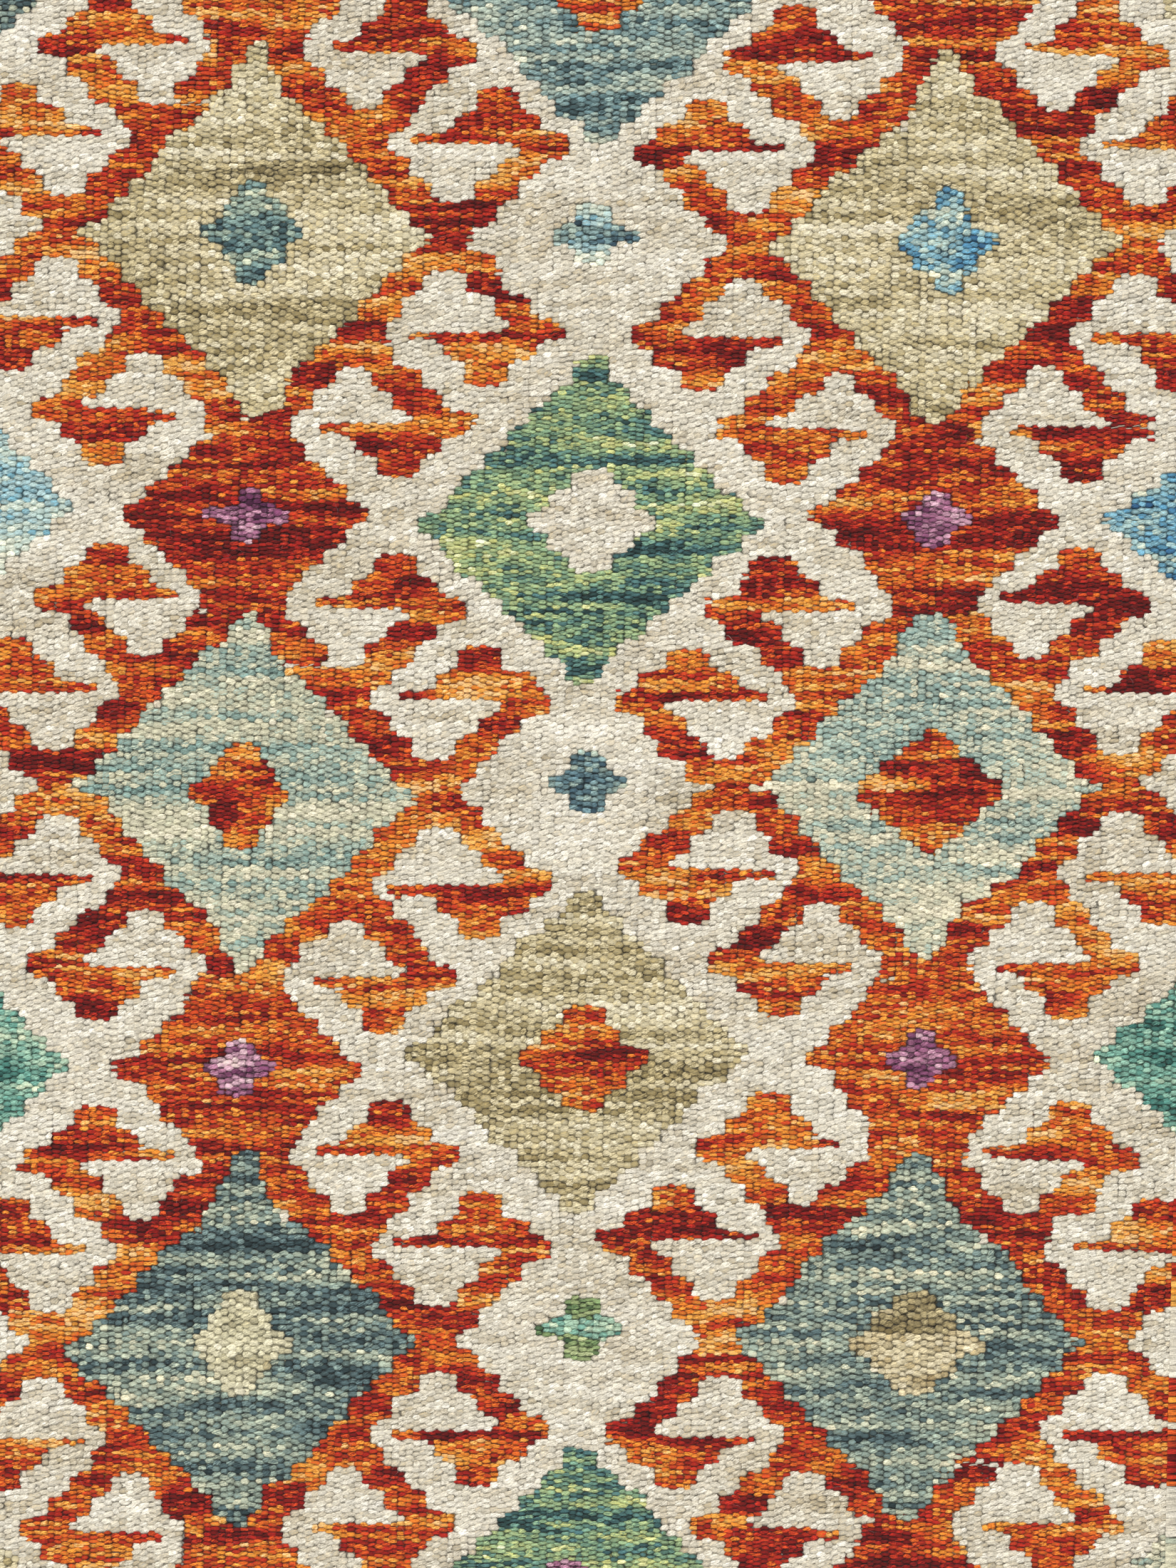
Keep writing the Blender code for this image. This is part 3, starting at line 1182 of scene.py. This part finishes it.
@dataclass
class Scatter:
    """Geometry Nodes that set one of a few small shapes on each point of a mesh.

    The points say which shape they take (form), its size (size) and its turn about Z (turn).

    Attributes:
        form: The shapes to choose from.
        material: The finish that they get.
        tilt: The furthest that a shape leans out of level, in radians.
        seed: Fixes the leaning.
        shapes: The shapes, once they are drawn.
    """

    form: Form
    material: bpy.types.Material
    tilt: float = 0.0
    seed: int = 3
    shapes: list[bpy.types.Object] = field(init=False)

    def __post_init__(self) -> None:
        """Draws the shapes."""
        self.shapes = self.form.shapes()

    def tree(self) -> tuple[bpy.types.NodeTree, dict[str, str]]:
        """Builds the tree.

        Returns:
            The tree, and the identifier of each named input.
        """
        tree = bpy.data.node_groups.new("scatter_forms", "GeometryNodeTree")
        kinds = {"Points": "Geometry", "Forms": "Collection", "Scale": "Float", "Tilt": "Float"}
        kinds |= {"Seed": "Int", "Finish": "Material"}
        found = {}
        for name, kind in kinds.items():
            socket = tree.interface.new_socket(name, in_out="INPUT", socket_type=f"NodeSocket{kind}")
            found[name] = socket.identifier
        tree.interface.new_socket("Cloth", in_out="OUTPUT", socket_type="NodeSocketGeometry")
        bench = Bench(tree)
        given = bench.add("NodeGroupInput").outputs
        named = {}
        for name, kind in (("form", "INT"), ("turn", "FLOAT"), ("size", "FLOAT_VECTOR")):
            node = bench.add("GeometryNodeInputNamedAttribute", {"data_type": kind}, {"Name": name})
            named[name] = node.outputs[0]
        picked = {"Collection": given["Forms"], "Separate Children": True, "Reset Children": True}
        chosen = bench.add("GeometryNodeCollectionInfo", None, picked)
        back = bench.math("MULTIPLY", given["Tilt"], -1.0)
        limits = {0: bench.vector(back, back, 0.0), 1: bench.vector(given["Tilt"], given["Tilt"], 0.0)}
        random = bench.add("FunctionNodeRandomValue", {"data_type": "FLOAT_VECTOR"})
        bench.feed(random, limits | {"Seed": given["Seed"]})
        turns = {0: random.outputs[0], 1: bench.vector(0.0, 0.0, named["turn"])}
        sockets = {
            "Points": given["Points"],
            "Instance": chosen.outputs[0],
            "Pick Instance": True,
            "Instance Index": named["form"],
            "Rotation": bench.vectors("ADD", turns).outputs[0],
            "Scale": bench.scaled(named["size"], given["Scale"]),
        }
        set_out = bench.add("GeometryNodeInstanceOnPoints", None, sockets)
        real = bench.add("GeometryNodeRealizeInstances", None, {"Geometry": set_out.outputs[0]})
        finished = {"Geometry": real.outputs[0], "Material": given["Finish"]}
        out = bench.add("GeometryNodeSetMaterial", None, finished)
        bench.add("NodeGroupOutput", None, {0: out.outputs[0]})
        return tree, found

    def grow(self, name: str, columns: Columns) -> bpy.types.Object:
        """Sets the shapes on points and makes the result one plain mesh.

        Args:
            name: The piece's name.
            columns: The points and what they carry, one row to a point.

        Returns:
            The piece, linked into the scene.
        """
        seeds = bpy.data.meshes.new(f"{name}_points")
        seeds.vertices.add(len(columns["point"]))
        seeds.vertices.foreach_set("co", columns["point"].astype(np.float32).ravel())
        for key, values in columns.items():
            if key != "point":
                put(seeds, key, values)
        holder = placed(f"{name}_points", seeds)
        choice = bpy.data.collections.new(f"{name}_forms")
        for shape in self.shapes:
            choice.objects.link(shape)
        tree, inputs = self.tree()
        modifier = holder.modifiers.new("scatter", "NODES")
        modifier.node_group = tree
        given = {"Forms": choice, "Scale": 1.0, "Tilt": self.tilt, "Seed": self.seed}
        for key, value in (given | {"Finish": self.material}).items():
            modifier[inputs[key]] = value
        graph = bpy.context.evaluated_depsgraph_get()
        evaluated = holder.evaluated_get(graph)
        mesh = bpy.data.meshes.new_from_object(evaluated, preserve_all_data_layers=True, depsgraph=graph)
        mesh.name = name
        holder.modifiers.remove(modifier)
        bpy.data.objects.remove(holder, do_unlink=True)
        bpy.data.collections.remove(choice)
        bpy.data.node_groups.remove(tree)
        return placed(name, mesh)


def carry(piece: bpy.types.Object) -> bpy.types.Object:
    """Lays a piece in the folds, fixes it to the cloth's body and logs it.

    Args:
        piece: The piece.

    Returns:
        The same piece.
    """
    mesh = piece.data
    points = got(mesh, "position")
    for fold in FOLDS:
        points[:, 2] += fold.over(points[:, 0], points[:, 1])
    mesh.vertices.foreach_set("co", points.ravel())
    mesh.update()
    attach(piece, "root")
    LOG.info("%s: %d triangles", piece.name, len(mesh.loops) - 2 * len(mesh.polygons))
    return piece


@dataclass
class Woven:
    """A part of the cloth.

    Attributes:
        loom: Counts of the weave.
        chart: The wool at each place.
    """

    loom: Loom
    chart: Chart

    def colors(self, codes: Array, places: Sequence[Array], seed: int, stride: int) -> Array:
        """The colour of each place in its own wool.

        Args:
            codes: The number of each place's wool.
            places: Where they are across and along the cloth, their wefts, and their shifts
                in the wool's range of shades.
            seed: Fixes what is random in the first wool.
            stride: What each further wool adds to the seed.

        Returns:
            Scene-linear colours with alpha, one to a row.
        """
        color = np.zeros((len(codes), 4))
        for code, wool in enumerate(LOTS):
            mine = codes == code
            x, y, pick, shift = (values[mine] for values in places)
            color[mine] = wool.value.dyed(x, y, pick, seed + stride * code, shift)
        return color


@dataclass
class WeftFloats(Woven):
    """The face of the cloth: one plump grain of wool for each pass of a weft over a warp end.

    Attributes:
        bands: Pieces into which the face is split along the warp.
        foot: Height of a grain's foot.
        rise: Height of a grain over its foot.
        jitter: Stray of a grain, as a share of its size.
        waver: Rise and fall of the wefts, in steps.
        octaves: Reach of that rise and fall in ends and in steps, and its share of it.
        pull: Distance over which a run's edges pull its grains along, in steps.
        drift: Sideways waver of an end's grains, in pitches.
        apart: How far a grain keeps off a neighbour of another colour, in pitches.
        narrow: How much narrower it is there.
        overlap: Thickness of a grain over its room, and how far that varies.
        twist: Stray of a grain's turn, in radians.
        snug: Share of its cell that a grain takes up in the bake.
        tilt: The furthest that a grain leans out of level, in radians.
        seed: Fixes what is random.
    """

    bands: int = 5
    foot: float = 0.00225
    rise: float = 0.0013
    jitter: float = 0.12
    waver: float = 0.1
    octaves: tuple[tuple[float, float, float], ...] = ((6.0, 1.3, 1.0), (19.0, 3.1, 0.6))
    pull: float = 0.9
    drift: float = 0.12
    apart: float = 0.07
    narrow: float = 0.1
    overlap: tuple[float, float] = (1.2, 0.08)
    twist: float = 0.07
    snug: float = 0.98
    tilt: float = 0.13
    seed: int = 21

    def lattice(self, code: int, lot: DyeLot) -> tuple[Array, Array, Array, Array]:
        """Places of one wool's grains, fitted to the runs that the chart gives it.

        Args:
            code: The wool's number in the chart.
            lot: The wool.

        Returns:
            The grains' ends, lower edges and upper edges in steps, and weft numbers.
        """
        chart, half, height = self.chart, self.loom.rows / 2, 1 / lot.picks
        first_end, past_end = self.loom.selvedge, self.loom.ends - self.loom.selvedge
        ends = np.arange(first_end, past_end)[:, None]
        rows = np.arange(-2, int(self.loom.rows * lot.picks) + 3)[None, :]
        up = (rows + 0.5 * (ends % 2)) * height - half
        for number, (across, along, share) in enumerate(self.octaves):
            up = up + share * self.waver * swell(ends / across, up / along, self.seed + number)
        cell = chart.cell(up)
        inside = (np.abs(up) < half) & (chart.codes[ends, cell] == code)
        end = np.broadcast_to(ends, up.shape)[inside]
        pick = (2 * rows + ends % 2)[inside]
        run, up = chart.run[end, cell[inside]], up[inside]
        first = np.append(True, run[1:] != run[:-1])
        last = np.append(run[1:] != run[:-1], True)
        group = np.cumsum(first) - 1
        start, stop = up[first][group] - height / 2, up[last][group] + height / 2
        low, high = chart.low[run], chart.high[run]
        raised = (low - start) * np.exp((start - up) / self.pull)
        up = up + raised + (high - stop) * np.exp((up - stop) / self.pull)
        between = (up[1:] + up[:-1]) / 2
        lower = np.where(first, low, np.append(0, between))
        upper = np.where(last, high, np.append(between, 0))
        missed = np.setdiff1d(np.unique(chart.run[chart.codes == code]), run)
        missed_end = np.searchsorted(chart.run[:, 0], missed, side="right") - 1
        keep = (missed_end >= first_end) & (missed_end < past_end)
        missed, missed_end = missed[keep], missed_end[keep]
        missed_pick = np.round(2 * (chart.low[missed] + half) * lot.picks).astype(int)
        found = ((end, missed_end), (lower, chart.low[missed]), (upper, chart.high[missed]))
        return tuple(np.append(*pair) for pair in (*found, (pick, missed_pick)))

    def lot_grains(self, code: int, lot: DyeLot, rng: Rng) -> Columns:
        """One wool's grains as columns of numbers.

        Args:
            code: The wool's number in the chart.
            lot: The wool.
            rng: Draws how they stray.

        Returns:
            The columns.
        """
        loom, chart = self.loom, self.chart
        end, lower, upper, pick = self.lattice(code, lot)
        count, up, tall = len(end), (lower + upper) / 2, upper - lower
        cell = chart.cell(up)
        left, right = (chart.codes[end + side, cell] != code for side in (-1, 1))
        wander = swell(end + 0.0, up / 1.9, self.seed + 2)
        middle = loom.middle(end) + self.drift * loom.pitch * wander
        shift = self.apart * (left.astype(float) - right) + rng.normal(0, self.jitter, count) * 0.5
        x = middle + shift * loom.pitch
        y = (up + rng.normal(0, self.jitter, count) * 0.35 / lot.picks) * loom.step
        wide = lot.reach * (1 - self.narrow * (left | right)) * rng.normal(1, self.jitter, count)
        full = rng.normal(1, 0.1, count) * np.clip(tall * lot.picks, 0.6, 1.3) ** 0.5
        thick = lot.plump * tall * loom.step / 2 * rng.normal(*self.overlap, count)
        slope = math.atan(loom.weft_slope) + math.radians(lot.slant)
        foot = self.foot + self.rise * (0.74 - lot.relief)
        dye = (middle, up * loom.step, pick, self.seed + STRIDE * code, chart.batch[end, cell])
        return {
            "point": loom.lay(x, y, np.full(count, foot)),
            "size": np.column_stack([wide * loom.pitch, thick, self.rise * lot.relief * full]),
            "turn": slope + rng.normal(0, self.twist, count),
            "tone": lot.dyed(*dye),
            "ply": lot.dyed(*dye, second=True),
            "cell": np.column_stack([middle, up * loom.step, tall * loom.step / 2]),
        }

    def grains(self) -> Columns:
        """Every grain of the face, as columns of numbers.

        Returns:
            The columns.
        """
        rng = np.random.default_rng(self.seed)
        used = [code for code in range(len(LOTS)) if (self.chart.codes == code).any()]
        lots = [self.lot_grains(code, LOTS[code].value, rng) for code in used]
        joined = {key: np.concatenate([lot[key] for lot in lots]) for key in lots[0]}
        return Form.GRAIN.chosen(joined, np.random.default_rng(self.seed + 1))

    def unwrap(self, mesh: bpy.types.Mesh, band: int) -> None:
        """Lays the grains out side by side, the band's left half below its right half.

        Args:
            mesh: The band's mesh.
            band: The band's number from the near end.
        """
        cell, local = got(mesh, "cell"), got(mesh, "local")
        half, tall = self.loom.width / 2, self.loom.length / self.bands
        right = cell[:, 0] > 0
        over = local[:, 0] * self.loom.pitch * (self.snug / 2)
        u = np.clip(cell[:, 0] + half * ~right + over, 0, half)
        low = -self.loom.length / 2 + tall * band
        v = cell[:, 1] - low + local[:, 1] * cell[:, 2] * self.snug
        v = np.clip(v, -GAP, tall + GAP) + 1.5 * GAP + (tall + 3 * GAP) * right
        size = max(half + 2 * GAP, 2 * tall + 7 * GAP)
        place = np.stack([(u + GAP) / size, v / size], axis=-1).astype(np.float32)
        corners = np.empty(len(mesh.loops), dtype=np.int32)
        mesh.loops.foreach_get("vertex_index", corners)
        set_bake(mesh, place[corners])

    def build(self, material: bpy.types.Material) -> tuple[list[bpy.types.Object], Columns]:
        """Makes the bands of grains.

        Args:
            material: The wool's finish.

        Returns:
            The bands from the near end, and the grains as columns of numbers.
        """
        grains = self.grains()
        band = np.floor((grains["cell"][:, 1] / self.loom.length + 0.5) * self.bands)
        band = np.clip(band, 0, self.bands - 1)
        scatter = Scatter(Form.GRAIN, material, self.tilt)
        made = []
        for number in range(self.bands):
            mine = {key: values[band == number] for key, values in grains.items()}
            piece = scatter.grow(f"weft_band_{number + 1}", mine)
            self.unwrap(piece.data, number)
            for key in ("size", "cell", "turn", "form"):
                piece.data.attributes.remove(piece.data.attributes[key])
            made.append(carry(piece))
        return made, grains


@dataclass
class ClothBody(Woven):
    """The cloth under its grains: a closed sheet whose underside shows the weave's other face.

    Attributes:
        top: Height of the sheet's top, under the grains.
        inset: How far the sides stay inside the selvedge.
        end_inset: How far the ends stay inside the cut.
        painted_gap_shade: Darkness of the painted shade on the wool seen between the grains.
        bright: Brightness of the underside.
        seed: Fixes what is random, as the grains' seed does.
    """

    top: float = 0.0024
    inset: float = 0.0009
    end_inset: float = 0.0003
    painted_gap_shade: float = 0.3
    bright: float = 1.15
    seed: int = 21

    def net(self, across: int, up: int, height: float) -> Array:
        """Points of one face, row by row from the near left corner.

        Args:
            across: Cells across it.
            up: Cells along it.
            height: Height of the face.

        Returns:
            The points.
        """
        half, end = self.loom.width / 2 - self.inset, self.loom.length / 2 - self.end_inset
        x, y = np.meshgrid(np.linspace(-half, half, across + 1), np.linspace(-end, end, up + 1))
        return self.loom.lay(x.ravel(), y.ravel(), np.full(x.size, height))

    def faces(self, top: tuple[int, int], under: tuple[int, int]) -> Faces:
        """Faces of the top, the underside with twice the cells across, and the four sides.

        Args:
            top: Cells across and along the top.
            under: Cells across and along the underside.

        Returns:
            The faces, in that order.
        """
        (a, b), (c, d) = top, under
        first = (a + 1) * (b + 1)
        made = strips(b + 1, a + 1, a, outward=False) + strips(d + 1, c + 1, c, start=first)
        for i in range(a):
            low, high = first + 2 * i, first + d * (c + 1) + 2 * i
            made.append((i + 1, i, low, low + 1, low + 2))
            made.append((b * (a + 1) + i, b * (a + 1) + i + 1, high + 2, high + 1, high))
        for j in range(b):
            low, step = first + j * (c + 1), c + 1
            made.append((j * (a + 1), (j + 1) * (a + 1), low + step, low))
            made.append(((j + 1) * (a + 1) + a, j * (a + 1) + a, low + c, low + c + step))
        return made

    def paint(self, mesh: bpy.types.Mesh, top: tuple[int, int], under: tuple[int, int]) -> None:
        """Gives each cell its wool, and its corners their place in the weave and in the bake.

        Args:
            mesh: The sheet.
            top: Cells across and along the top.
            under: Cells across and along the underside.
        """
        corners = len(mesh.loops)
        tone, weave = np.full((corners, 4), 0.25), np.zeros((corners, 3))
        bake = np.full((corners, 2), (0.98, 0.5))
        start = 0
        for (across, up), face_up in ((top, True), (under, False)):
            i, j = (grid.ravel() for grid in np.meshgrid(np.arange(across), np.arange(up)))
            end = ((i + 0.5) * self.loom.ends / across).astype(int)
            steps = (j + 0.5) * self.loom.rows / up - self.loom.rows / 2
            cell = self.chart.cell(steps)
            codes = self.chart.codes[end, cell]
            picks = np.array([wool.value.picks for wool in LOTS])[codes]
            rows = np.round(steps * picks).astype(int)
            places = (self.loom.middle(end), steps * self.loom.step, rows, self.chart.batch[end, cell])
            color = self.colors(codes, places, self.seed, STRIDE)
            # painted shade: the top, seen only between the grains, is darkened in place of their shadow
            color[:, :3] *= self.painted_gap_shade if face_up else self.bright
            left, wide, tall = BAKED[face_up]
            turn = ((0, 0), (1, 0), (1, 1), (0, 1)) if face_up else ((0, 0), (0, 1), (1, 1), (1, 0))
            for corner, (di, dj) in enumerate(turn):
                row = slice(start + corner, start + 4 * len(i), 4)
                tone[row] = color
                u, v = (i + di) / across, (j + dj) / up
                weave[row, 0] = 0.5 if face_up else u * self.loom.ends
                weave[row, 1] = 0.5 if face_up else v * self.loom.rows * picks
                bake[row] = np.column_stack([MARGIN + (left + wide * u), MARGIN + tall * v])
            start += 4 * len(i)
        put(mesh, "tone", tone, "CORNER")
        put(mesh, "weave", weave, "CORNER")
        set_bake(mesh, bake)

    def build(self, material: bpy.types.Material) -> bpy.types.Object:
        """Makes the sheet.

        Args:
            material: Its finish.

        Returns:
            The piece.
        """
        top, under = (self.loom.ends // 2, self.loom.rows), (self.loom.ends, self.loom.rows)
        points = np.concatenate([self.net(*top, self.top), self.net(*under, 0.0)])
        mesh = mesh_of("cloth_body", points, self.faces(top, under), material)
        self.paint(mesh, top, under)
        body = placed("cloth_body", mesh)
        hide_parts("kilim_cloth")
        return carry(body)


@dataclass
class Selvedges(Woven):
    """The wefts that turn back round the outer pair of ends at each side.

    Attributes:
        picks: Turns of weft in one pattern step.
        half_height: Half the selvedge's thickness.
        height: Height of its middle.
        over: How far the turns stand out over the ends.
        seed: Fixes what is random in the turns.
        dye_seed: Fixes what is random in the first wool.
    """

    picks: float = 3.3
    half_height: float = 0.00165
    height: float = 0.00192
    over: float = 0.0006
    seed: int = 77
    dye_seed: int = 500

    def build(self, material: bpy.types.Material) -> bpy.types.Object:
        """Makes the turns of both sides.

        Args:
            material: The wool's finish.

        Returns:
            The piece.
        """
        loom, count = self.loom, int(self.loom.rows * self.picks)
        up = (np.arange(count) + 0.5) / self.picks - loom.rows / 2
        wide = loom.selvedge * loom.pitch + self.over
        thick = loom.step / self.picks / 2
        rng = np.random.default_rng(self.seed)
        sides = []
        for side in (-1, 1):
            end = loom.selvedge if side < 0 else loom.ends - 1 - loom.selvedge
            x, y = np.full(count, side * (loom.width / 2 - wide)), up * loom.step
            places = (x, y, np.arange(count), np.zeros(count))
            turn = rng.normal(0 if side > 0 else math.pi, 0.04, count)
            size = [rng.normal(wide, 0.0002, count), rng.normal(1.05, 0.06, count) * thick]
            sides.append({
                "point": loom.lay(x, y, np.full(count, self.height)),
                "tone": self.colors(self.chart.codes[end, self.chart.cell(up)], places, self.dye_seed, 1),
                "turn": turn,
                "size": np.column_stack([*size, np.full(count, self.half_height)]),
            })
        joined = {key: np.concatenate([side[key] for side in sides]) for key in sides[0]}
        columns = Form.WRAP.chosen(joined, rng)
        return carry(Scatter(Form.WRAP, material).grow("selvedge_wraps", columns))


@dataclass
class CutWarps:
    """The warp ends, which show as short trimmed cords where the cloth is cut across.

    Attributes:
        loom: Counts of the weave.
        radius: Half the thickness of a warp.
        reach: How far a warp stands out.
        height: Height of a warp.
        shades: sRGB colours of the undyed yarn.
        seed: Fixes what is random.
    """

    loom: Loom
    radius: float = 0.0009
    reach: float = 0.0022
    height: float = 0.0015
    shades: Shades = ((178, 164, 134), (206, 194, 166), (226, 217, 194))
    seed: int = 91

    def build(self, material: bpy.types.Material) -> bpy.types.Object:
        """Makes the stubs of both cut ends.

        Args:
            material: The wool's finish.

        Returns:
            The piece.
        """
        rng = np.random.default_rng(self.seed)
        x = np.tile(self.loom.middle(np.arange(self.loom.ends)), 2)
        way = np.repeat([-1.0, 1.0], self.loom.ends)
        y = way * (self.loom.length / 2 - 0.0002)
        count = len(x)
        spans = ((self.radius, 0.0001), (self.reach, 0.0005), (self.radius, 0.0001))
        lot = DyeLot(self.shades, 3.0, 0.5, 0.1, 0.1, 0.5)
        columns = {
            "tone": lot.dyed(x, y, np.arange(count), 5),
            "size": np.column_stack([rng.normal(*span, count) for span in spans]),
            "turn": np.where(way > 0, 0.0, math.pi) + rng.normal(0, 0.16, count),
        }
        columns = Form.STUB.chosen(columns, rng)
        columns["point"] = self.loom.lay(x, y, rng.normal(self.height, 0.00015, count))
        return carry(Scatter(Form.STUB, material).grow("cut_warps", columns))


@dataclass
class StrayFibres:
    """Loose fibres of wool that lie over the face, each dyed as the grain that it left.

    Attributes:
        count: Number of fibres.
        length: Shortest and longest fibre.
        height: Height at which they leave the face.
        stray: How far they lie from their grains.
        bleach: How far they are bleached to a pale grey, and the grey's brightness.
        seed: Fixes what is random.
    """

    count: int = 2400
    length: tuple[float, float] = (0.0022, 0.006)
    height: float = 0.0036
    stray: float = 0.001
    bleach: tuple[float, float] = (0.25, 0.6)
    seed: int = 63

    def build(self, material: bpy.types.Material, grains: Columns) -> bpy.types.Object:
        """Makes the fibres.

        Args:
            material: The wool's finish.
            grains: The grains of the face, as columns of numbers.

        Returns:
            The piece.
        """
        rng = np.random.default_rng(self.seed)
        mine = rng.choice(len(grains["point"]), self.count, replace=False)
        points, tone = grains["point"][mine], grains["tone"][mine]
        points[:, :2] += rng.normal(0, self.stray, (self.count, 2))
        points[:, 2] = self.height
        share, grey = self.bleach
        tone[:, :3] = (1 - share) * tone[:, :3] + share * grey
        long = rng.uniform(*self.length, self.count)
        size, turn = np.column_stack([long, long, 0.25 * long]), rng.uniform(0, 2 * math.pi, self.count)
        columns = {"point": points, "tone": tone, "size": size, "turn": turn}
        columns = Form.HAIR.chosen(columns, rng)
        return carry(Scatter(Form.HAIR, material).grow("stray_fibres", columns))


@dataclass
class Studio:
    """Pale floor, soft daylight from the upper left, and the camera straight over the cloth.

    Attributes:
        distance: Height of the camera over the face.
        face: Height of the face.
        view_height: Length of cloth that the picture shows from top to bottom.
        sensor: Long side of the camera's sensor, in millimetres.
        roll: Turn of the camera about its own axis, in degrees.
        aside: How far the camera stands to the right of the pattern's middle.
        key: Strength of the soft sun.
        lean: Turns of the sun about X and Y, in degrees.
        softness: Angle that the sun takes up, in degrees.
        fill: Strength of the light all round.
        floor: Half the floor's side, and its height.
    """

    distance: float = 2.2
    face: float = 0.0035
    view_height: float = 0.7333
    sensor: float = 36.0
    roll: float = 0.87
    aside: float = 0.00183
    key: float = 2.2
    lean: tuple[float, float] = (-38, -20)
    softness: float = 24
    fill: float = 0.85
    floor: tuple[float, float] = (3.0, -0.0008)

    def build(self) -> None:
        """Makes the floor, the lights and the camera."""
        self.make_floor()
        self.make_lights()
        self.make_camera()
        settings = bpy.context.scene.view_settings
        settings.view_transform, settings.look, settings.exposure = "Standard", "None", 0.0
        LOG.info("studio: floor, lights and camera")

    def make_floor(self) -> None:
        """Makes the floor just under the cloth."""
        half, height = self.floor
        corners = [(-half, -half), (half, -half), (half, half), (-half, half)]
        points = np.array([(*corner, height) for corner in corners])
        mesh = mesh_of("studio_floor", points, [(0, 1, 2, 3)], PlainPaper().build())
        placed("studio_floor", mesh)

    def make_lights(self) -> None:
        """Makes the soft sun and the even light of the room."""
        light = bpy.data.lights.new("window_light", "SUN")
        light.energy, light.angle = self.key, math.radians(self.softness)
        light.color = (1.0, 0.985, 0.96)
        placed("window_light", light).rotation_euler = (*map(math.radians, self.lean), 0)
        world = bpy.data.worlds.new("room")
        bpy.context.scene.world = world
        world.use_nodes = True
        sky = {"Color": (0.97, 0.985, 1.0, 1.0), "Strength": self.fill}
        Bench(world.node_tree).feed(world.node_tree.nodes["Background"], sky)

    def make_camera(self) -> None:
        """Makes the camera."""
        data = bpy.data.cameras.new("camera")
        data.sensor_width = self.sensor
        data.lens = self.sensor * self.distance / self.view_height
        data.clip_start, data.clip_end = 0.05, 50.0
        camera = placed("camera", data)
        camera.location = (self.aside, 0.0, self.distance + self.face)
        camera.rotation_euler = (0.0, 0.0, math.radians(self.roll))
        bpy.context.scene.camera = camera


def main() -> None:
    """Builds the cloth piece by piece, then the studio."""
    logging.basicConfig(level=logging.INFO, format="%(name)s %(message)s")
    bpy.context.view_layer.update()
    loom = Loom()
    chart = Chart(loom)
    chart.weave()
    wool = SpunWool().build()
    bands, grains = WeftFloats(loom, chart).build(wool)
    body = ClothBody(loom, chart).build(WovenBack().build())
    edges = Selvedges(loom, chart).build(wool)
    warps = CutWarps(loom).build(wool)
    fibres = StrayFibres().build(wool, grains)
    Studio().build()


if __name__ == "__main__":
    main()
